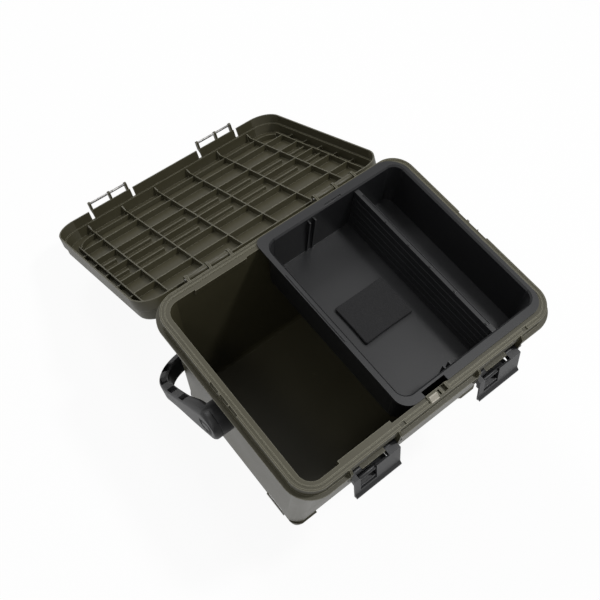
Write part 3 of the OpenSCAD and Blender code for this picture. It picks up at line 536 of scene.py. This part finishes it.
@dataclass
class Box:
    """Every CAD node that keeps its own shape, and how far its sharp edges are broken, in millimetres."""

    body_edge: float = 0.6
    foot_edge: float = 0.8
    lid_edge: float = 0.45
    plate_edge: float = 0.3
    tray_edge: float = 0.45
    divider_edge: float = 0.25
    housing_edge: float = 0.4
    pivot_edge: float = 0.3
    wire_edge: float = 0.2
    lever_edge: float = 0.5
    latch_pin_edge: float = 0.3
    claw_edge: float = 0.4

    def mouldings(self) -> list[Moulding]:
        """Lists the nodes with their finishes: the single ones, and then those with one on each side.

        Returns:
            One Moulding for each node.
        """
        single = [Moulding("body_shell", Slot.OLIVE, self.body_edge),
                  Moulding("corner_feet", Slot.OLIVE, self.foot_edge),
                  Moulding("lid_shell", Slot.OLIVE, self.lid_edge),
                  # the lock plate is coloured pale as a painted highlight
                  Moulding("lock_plate", Slot.PALE_HIGHLIGHT, self.plate_edge),
                  Moulding("tray", Slot.TRAY, self.tray_edge),
                  Moulding("divider", Slot.TRAY, self.divider_edge)]
        paired = [("pivot_housing", Slot.BLACK, self.housing_edge),
                  ("pivot_pin", Slot.STEEL, self.pivot_edge),
                  ("catch_rod", Slot.STEEL, self.wire_edge),
                  ("hinge_pin", Slot.STEEL, self.wire_edge),
                  ("latch_lever", Slot.BLACK, self.lever_edge),
                  ("latch_pin", Slot.BLACK, self.latch_pin_edge),
                  ("latch_claw", Slot.BLACK, self.claw_edge),
                  ("claw_pin", Slot.STEEL, self.wire_edge)]
        return single + [Moulding(f"{stem}_{side}", slot, edge) for stem, slot, edge in paired
                         for side in ("left", "right")]

    def build(self, stuff: dict[Slot, bpy.types.Material]) -> None:
        """Dresses each of them.

        Args:
            stuff: The materials by slot.
        """
        for moulding in self.mouldings():
            moulding.build(stuff)


@dataclass
class CarryHandle:
    """The folded bail: a rounded bar swept from boss to boss, with a bearing boss inside each arm.

    Sizes are in millimetres. The height u runs up the arms from the pivot axis. A step is the pair of values
    between which something fades in or out.
    """

    pivot_y: float = 8.0
    pivot_z: float = 228.0
    rest_deg: float = 41.81
    reach: float = 205.0
    arm_in: float = 229.5
    arm_t: float = 15.5
    bar_t: float = 19.5
    bar_w: float = 25.0
    bend_r: float = 65.0
    bend_thin: float = 1.2
    waist_step: Pair = (-10.0, 128.0)
    edge_r: float = 4.0
    boss_round: float = 2.5
    round_step: Pair = (5.0, 70.0)
    round_most: float = 0.98
    flare: float = 4.5
    flare_in: Pair = (-20.0, 0.0)
    flare_out: Pair = (22.0, 70.0)
    groove: float = 2.4
    groove_half: Pair = (17.0, 10.0)
    groove_shift: float = 1.0
    groove_in: Pair = (0.66, 0.74)
    groove_out: Pair = (0.92, 1.0)
    pocket: float = 6.0
    pocket_wall: float = 2.2
    pocket_step: Pair = (0.86, 1.0)
    pockets: tuple[Pair, ...] = ((72.0, 9.0), (117.0, 9.0), (157.0, 10.0), (188.0, 7.0))
    boss_r: float = 24.0
    boss_in: float = 213.0
    boss_lap: float = 3.0
    boss_rim: tuple[Pair, ...] = ((0.0, 2.5), (0.5, 1.2), (1.6, 0.3), (2.8, 0.0))
    hole_r: float = 7.05
    points_round: int = 96
    spacing: float = 1.2

    def path(self) -> tuple[np.ndarray, ...]:
        """The bar's centre line, from the end of the left boss over the crossbar to that of the right.

        Straight up the left arm, a quarter turn, along the crossbar, a quarter turn and down the right arm,
        sampled at even arc length.

        Returns:
            Centre points (n, 2) as (x, u), outward unit normals (n, 2), the height u of each sample, and how
            far the bar has turned there, in radians.
        """
        x_arm = self.arm_in + self.arm_t / 2
        radius = self.bend_r
        arm = self.reach - radius + self.boss_r
        quarter = radius * math.pi / 2
        total = 2 * arm + 2 * quarter + 2 * (x_arm - radius)
        s = np.linspace(0, total, int(total / self.spacing) // 2 * 2 + 1)
        half = np.minimum(s, total - s)
        side = np.where(s < total / 2, -1.0, 1.0)
        turn = np.clip((half - arm) / radius, 0, math.pi / 2)
        along = np.clip(half - arm - quarter, 0, None)
        x = x_arm - radius + radius * np.cos(turn) - along
        u = -self.boss_r + np.minimum(half, arm) + radius * np.sin(turn)
        centre = np.stack([side * x, u], axis=-1)
        normal = np.stack([side * np.cos(turn), np.sin(turn)], axis=-1)
        return centre, normal, u, turn

    def half_width(self, u: np.ndarray) -> np.ndarray:
        """Half the bar's width: a half circle below the pivot, then a waist that narrows smoothly to the bar.

        Args:
            u: Heights above the pivot axis.

        Returns:
            Half the width at each height.
        """
        low = np.sqrt(np.clip(self.boss_r ** 2 - u ** 2, 0, None))
        waist = self.bar_w / 2 + (self.boss_r - self.bar_w / 2) * (1 - step(u, *self.waist_step))
        return np.where(u < 0, low, np.minimum(waist, self.boss_r))

    def turned(self, x: np.ndarray, u: np.ndarray, w: np.ndarray) -> np.ndarray:
        """Takes points in the bail's own plane to the rest pose, by a turn of -rest_deg about the pivot axis.

        Args:
            x: Distances along the pivot axis.
            u: Heights above it in the bail's plane.
            w: Distances out of that plane.

        Returns:
            The points in metres, with a last axis of three.
        """
        a = math.radians(self.rest_deg)
        y = self.pivot_y + u * math.cos(a) + w * math.sin(a)
        z = self.pivot_z - u * math.sin(a) + w * math.cos(a)
        return np.stack([x, y, z], axis=-1) * MM

    def bar(self) -> Skin:
        """The swept bar: centre + normal * a + width * b, with (a, b) a rounded rectangle at each sample.

        The section is a little thinner halfway round each bend, its edges are rounder at the boss, and the
        inner face of each arm flares out to the boss. The outer face has an oval groove round the pivot,
        between two ellipses, and the upper face a row of square pockets.

        Returns:
            Vertices and quads.
        """
        centre, normal, u, turn = self.path()
        square, circle = ring(self.points_round)
        on_bar = turn / (math.pi / 2)
        half_a = (self.arm_t + (self.bar_t - self.arm_t) * on_bar) / 2 - self.bend_thin * np.sin(2 * turn)
        half_b = self.half_width(u)
        r = np.minimum(self.edge_r + self.boss_round * (1 - step(u, *self.round_step)),
                       np.minimum(half_a, half_b) * self.round_most)
        a = (half_a - r)[:, None] * square[:, 0] + r[:, None] * circle[:, 0]
        b = (half_b - r)[:, None] * square[:, 1] + r[:, None] * circle[:, 1]
        high = u[:, None]
        half_long, half_wide = self.groove_half
        oval = np.sqrt((high / half_long) ** 2 + ((b + self.groove_shift) / half_wide) ** 2)
        sunk = self.groove * (step(oval, *self.groove_in) - step(oval, *self.groove_out))
        flared = self.flare * (1 - step(high, *self.flare_out)) * step(high, *self.flare_in)
        a = np.where(a > 0, a - sunk, a - flared)
        for middle, half in self.pockets:
            pit = np.maximum(np.abs(high - middle) / half, np.abs(a) / (half_a[:, None] - self.pocket_wall))
            b = b - self.pocket * (1 - step(pit, *self.pocket_step)) * (b > 0)
        x = centre[:, :1] + normal[:, :1] * a
        v = centre[:, 1:] + normal[:, 1:] * a
        return lattice(self.turned(x, v, b), around=True)

    def boss(self, side: int) -> Skin:
        """One bearing boss: a closed profile of (x, radius) turned a full circle about the pivot axis.

        Args:
            side: -1 at the left and 1 at the right.

        Returns:
            Vertices and quads.
        """
        x0, x1, r = self.boss_in, self.arm_in + self.boss_lap, self.boss_r
        rim = [[x0 + along, r - inward] for along, inward in self.boss_rim]
        profile = np.array([[x0, self.hole_r], *rim, [x1, r], [x1, self.hole_r], [x0, self.hole_r]])
        angle = np.linspace(0, 2 * math.pi, self.points_round, endpoint=False)
        x = side * np.broadcast_to(profile[:, :1], (len(profile), len(angle)))
        u = profile[:, 1:] * np.cos(angle)
        w = profile[:, 1:] * np.sin(angle)
        return lattice(self.turned(x, u, w), around=True)

    def build(self, stuff: dict[Slot, bpy.types.Material]) -> None:
        """Makes the handle in place of its CAD node.

        Args:
            stuff: The materials by slot.
        """
        piece = into_object("carry_handle", [self.bar(), self.boss(-1), self.boss(1)])
        wear(piece, frame["nodes"]["handle_bail"]["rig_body"], Slot.HANDLE, stuff)
        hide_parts("handle_bail")


@dataclass
class FrontRib:
    """The lid's inner rib, along the front and round both corners: drawn on the shut lid, laid open with it.

    Sizes are in millimetres.
    """

    hinge_y: float = 181.3
    hinge_z: float = 273.9
    open_deg: float = 210.0
    half_x: float = 203.1
    front_y: float = -136.8
    back_y: float = -118.0
    bend_r: float = 30.0
    low: float = 307.0
    high: float = 316.4
    thick: float = 2.2
    edge_r: float = 0.5
    end_share: float = 0.5
    points_along: int = 361
    points_round: int = 24

    def opened(self, x: np.ndarray, y: np.ndarray, z: np.ndarray) -> np.ndarray:
        """Turns points of the shut lid by -open_deg about the hinge axis.

        Args:
            x: Distances along the hinge axis.
            y: Their places across the shut box.
            z: Their heights on the shut box.

        Returns:
            The points in metres, with a last axis of three.
        """
        a = math.radians(-self.open_deg)
        dy, dz = y - self.hinge_y, z - self.hinge_z
        return np.stack([x, self.hinge_y + dy * math.cos(a) - dz * math.sin(a),
                         self.hinge_z + dy * math.sin(a) + dz * math.cos(a)], axis=-1) * MM

    def surface(self) -> Skin:
        """The rib's closed skin: a rounded rectangle carried along a path, its ends drawn in to a point.

        The path runs forward along the left side, a quarter turn, along the front, a quarter turn and back
        along the right side. Each sample's place follows from its distance to the nearer end, and the
        section's width points out of the turn.

        Returns:
            Vertices and quads.
        """
        arm = self.front_y + self.bend_r
        side = self.back_y - arm
        quarter = self.bend_r * math.pi / 2
        half = side + quarter + self.half_x - self.bend_r
        s = np.linspace(-half, half, self.points_along)
        to_end = half - np.abs(s)
        turn = np.clip((to_end - side) / self.bend_r, 0, math.pi / 2)
        along_front = np.clip(to_end - side - quarter, 0, None)
        x = np.sign(s) * (self.half_x - self.bend_r * (1 - np.cos(turn)) - along_front)
        y = arm + np.clip(side - to_end, 0, None) - self.bend_r * np.sin(turn)
        outward = np.stack([np.sign(s) * np.cos(turn), -np.sin(turn)], axis=-1)
        square, circle = ring(self.points_round)
        tall = (self.high - self.low) / 2
        a = (self.thick / 2 - self.edge_r) * square[:, 0] + self.edge_r * circle[:, 0]
        b = (tall - self.edge_r) * square[:, 1] + self.edge_r * circle[:, 1]
        last = len(s) - 1
        rows = np.r_[0, 0, np.arange(len(s)), last, last]
        size = np.ones((len(rows), 1))
        size[[0, -1]] = 0.0
        size[[1, -2]] = self.end_share
        x_out = x[rows][:, None] + outward[rows, :1] * (a * size)
        y_out = y[rows][:, None] + outward[rows, 1:] * (a * size)
        return lattice(self.opened(x_out, y_out, self.low + tall + b * size), around=True)

    def build(self, stuff: dict[Slot, bpy.types.Material]) -> None:
        """Makes the rib.

        Args:
            stuff: The materials by slot.
        """
        piece = into_object("lid_front_rib", [self.surface()])
        wear(piece, frame["nodes"]["lid_shell"]["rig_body"], Slot.OLIVE, stuff)


@dataclass
class FoamPad:
    """The loose square of foam on the tray floor.

    Sizes are in millimetres. The crossed wave is its height and, along x and then y, its radians per
    millimetre and its start; the slanted wave is its height and its radians per millimetre along x and y.
    """

    x: float = 48.5
    y: float = 5.5
    width: float = 89.0
    depth: float = 71.0
    low: float = 221.02
    thick: float = 6.6
    corner_r: float = 4.0
    edge_r: float = 1.4
    crown: float = 0.5
    pull: float = 0.7
    sink: float = 0.15
    top_from: float = 0.2
    crossed_wave: tuple[float, ...] = (0.12, 0.11, 0.7, 0.13, -0.4)
    slanted_wave: tuple[float, ...] = (0.08, 0.31, -0.27)
    flat_deg: float = 60.0
    points_round: int = 192
    corner_share: float = 0.25
    points_in: int = 26
    points_up: int = 13

    def waves(self, x: np.ndarray, y: np.ndarray) -> np.ndarray:
        """Two slow waves over the top: a sine along x times a cosine along y, and a sine on the slant.

        Args:
            x: Places along the pad from its middle.
            y: Places across it.

        Returns:
            The height to add at each place.
        """
        height, along_x, start_x, along_y, start_y = self.crossed_wave
        crossed = height * np.sin(x * along_x + start_x) * np.cos(y * along_y + start_y)
        height, along_x, along_y = self.slanted_wave
        return crossed + height * np.sin(x * along_x + y * along_y)

    def surface(self) -> Skin:
        """The pad's closed skin over (v, t).

        v runs from the middle of the underside out to the rim, up the side and back to the middle of the top;
        t runs round. The outline is a rounded rectangle whose sides pull in between the corners by pull times
        the cosine of their share; the top rises by crown times 1 - share squared, plus two slow waves.

        Returns:
            Vertices and quads.
        """
        square, circle = ring(self.points_round, self.corner_share)
        half_x, half_y = self.width / 2 - self.corner_r, self.depth / 2 - self.corner_r
        spread = np.linspace(0, 1, self.points_in)
        bend = np.linspace(-math.pi / 2, math.pi / 2, self.points_up)
        level = np.ones(self.points_in)
        share = np.concatenate([spread, np.ones(self.points_up), spread[::-1]])[:, None]
        grow = np.concatenate([-self.edge_r * level, self.edge_r * (np.cos(bend) - 1), -self.edge_r * level])
        up = np.concatenate([-level, np.sin(bend), level])[:, None]
        x = half_x * square[:, 0] + self.corner_r * circle[:, 0]
        y = half_y * square[:, 1] + self.corner_r * circle[:, 1]
        sag = self.pull * (np.cos(x / self.width * math.pi) * np.abs(circle[:, 1])
                           + np.cos(y / self.depth * math.pi) * np.abs(circle[:, 0]))
        x = (x - circle[:, 0] * sag) * share + circle[:, 0] * grow[:, None] * share
        y = (y - circle[:, 1] * sag) * share + circle[:, 1] * grow[:, None] * share
        rise = self.crown * (1 - share ** 2) + self.waves(x, y) * (1 - share ** 4) - self.sink
        z = self.thick / 2 * (1 + up) + (up > self.top_from) * rise
        points = np.stack([x + self.x, y + self.y, z + self.low], axis=-1) * MM
        return lattice(points, around=True)

    def build(self, stuff: dict[Slot, bpy.types.Material]) -> None:
        """Args:
            stuff: The materials by slot.
        """
        piece = into_object("foam_pad", [self.surface()], self.flat_deg)
        wear(piece, frame["nodes"]["tray_pad"]["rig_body"], Slot.FOAM, stuff)
        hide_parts("tray_pad")


# ----------------------------------------------------------------------- studio


@dataclass(frozen=True)
class Lamp:
    """A square soft light aimed at the box: its place in metres, power in watts and side in metres."""

    name: str
    place: Triple
    power: float
    size: float
    target: Triple = (0.0, 0.05, 0.2)

    def build(self) -> None:
        """Hangs the lamp."""
        data = bpy.data.lights.new(self.name, "AREA")
        data.energy = self.power
        data.shape = "SQUARE"
        data.size = self.size
        lamp = bpy.data.objects.new(self.name, data)
        lamp.location = self.place
        aim = Vector(self.target) - Vector(self.place)
        lamp.rotation_euler = aim.to_track_quat("-Z", "Y").to_euler()
        bpy.context.scene.collection.objects.link(lamp)


@dataclass
class Studio:
    """White floor, white surroundings, three soft lamps and the camera, in metres."""

    right_lamp: Lamp = Lamp("lamp_right", (0.9, -0.5, 2.4), 34.0, 0.3)
    left_lamp: Lamp = Lamp("lamp_left", (-1.1, -0.6, 2.3), 8.0, 0.35)
    back_lamp: Lamp = Lamp("lamp_back", (0.2, 1.9, 2.1), 22.0, 0.6)
    focal: float = 51.069
    sensor: float = 36.0
    azimuth: float = -44.734
    elevation: float = 61.186
    roll: float = 6.915
    eye: Triple = (-0.44015, -0.33604, 1.29457)
    clip: Pair = (0.05, 30.0)
    white: Triple = (1.0, 1.0, 1.0)
    paper: Triple = (0.86, 0.86, 0.86)
    paper_fleck: Triple = (0.9, 0.9, 0.9)
    fleck_scale: float = 40.0
    fleck_share: float = 0.02
    world_level: float = 0.30
    floor_shine: float = 0.93
    floor_r: float = 6.0
    floor_rings: int = 7
    floor_sides: int = 64

    def white_to_eye(self, g: Graph) -> Sum:
        """A mask that is 1 for rays from the camera and for what gloss and glass show."""
        rays = [g.add("ShaderNodeLightPath", out=name) for name in
                ("Is Camera Ray", "Is Glossy Ray", "Is Transmission Ray")]
        return rays[0].largest(rays[1]).largest(rays[2])

    def floor(self) -> None:
        """A pale round floor, rings of radius times (cos, sin), nearly white to the camera but for shadow."""
        g = Graph("floor")
        fleck = g.noise(g.place(), self.fleck_scale) * self.fleck_share
        pale = g.add("ShaderNodeBsdfDiffuse", {}, {"Color": g.blend(fleck, self.paper, self.paper_fleck)})
        glow = g.add("ShaderNodeEmission", {}, {"Color": self.white, "Strength": 1.0})
        share = self.white_to_eye(g) * self.floor_shine
        g.finish(g.add("ShaderNodeMixShader", {}, {0: share, 1: pale, 2: glow}))
        radius = np.linspace(0, self.floor_r, self.floor_rings)[:, None]
        angle = np.linspace(0, 2 * math.pi, self.floor_sides, endpoint=False)
        level = np.zeros((self.floor_rings, self.floor_sides))
        points = np.stack([radius * np.cos(angle), radius * np.sin(angle), level], axis=-1)
        vertices, quads = lattice(points, around=True)
        mesh = bpy.data.meshes.new("floor")
        mesh.from_pydata(vertices, [], quads[:, ::-1])
        piece = bpy.data.objects.new("floor", mesh)
        piece.data.materials.append(g.material)
        bpy.context.scene.collection.objects.link(piece)

    def world(self) -> None:
        """Surroundings that light evenly and look white."""
        world = bpy.data.worlds.new("surroundings")
        bpy.context.scene.world = world
        world.use_nodes = True
        g = Graph(world.node_tree)
        level = self.white_to_eye(g) * (1.0 - self.world_level) + self.world_level
        sky = g.add("ShaderNodeBackground", {}, {"Color": self.white, "Strength": level})
        g.add("ShaderNodeOutputWorld", {}, {"Surface": sky}, out=None)

    def camera(self) -> None:
        """Sets the camera from the azimuth, elevation and roll found from the photograph."""
        a, e, r = (math.radians(v) for v in (self.azimuth, self.elevation, self.roll))
        ahead = Vector((-math.sin(a) * math.cos(e), math.cos(a) * math.cos(e), -math.sin(e)))
        right = ahead.cross(Vector((0, 0, 1))).normalized()
        up = right.cross(ahead)
        right, up = right * math.cos(r) + up * math.sin(r), up * math.cos(r) - right * math.sin(r)
        data = bpy.data.cameras.new("camera")
        data.lens = self.focal
        data.sensor_width = self.sensor
        data.clip_start, data.clip_end = self.clip
        camera = bpy.data.objects.new("camera", data)
        turn = Matrix((right, up, -ahead)).transposed().to_4x4()
        camera.matrix_world = Matrix.Translation(Vector(self.eye)) @ turn
        bpy.context.scene.collection.objects.link(camera)
        bpy.context.scene.camera = camera

    def build(self) -> None:
        """Sets up the whole studio."""
        bpy.context.scene.view_settings.view_transform = "Standard"
        self.floor()
        self.world()
        self.camera()
        for lamp in (self.right_lamp, self.left_lamp, self.back_lamp):
            lamp.build()


def main() -> None:
    """Builds every class in order."""
    logging.basicConfig(level=logging.INFO, format="%(name)s: %(message)s")
    stuff = Palette().build()
    for assembly in (Box(), CarryHandle(), FrontRib(), FoamPad()):
        assembly.build(stuff)
    Studio().build()


if __name__ == "__main__":
    main()
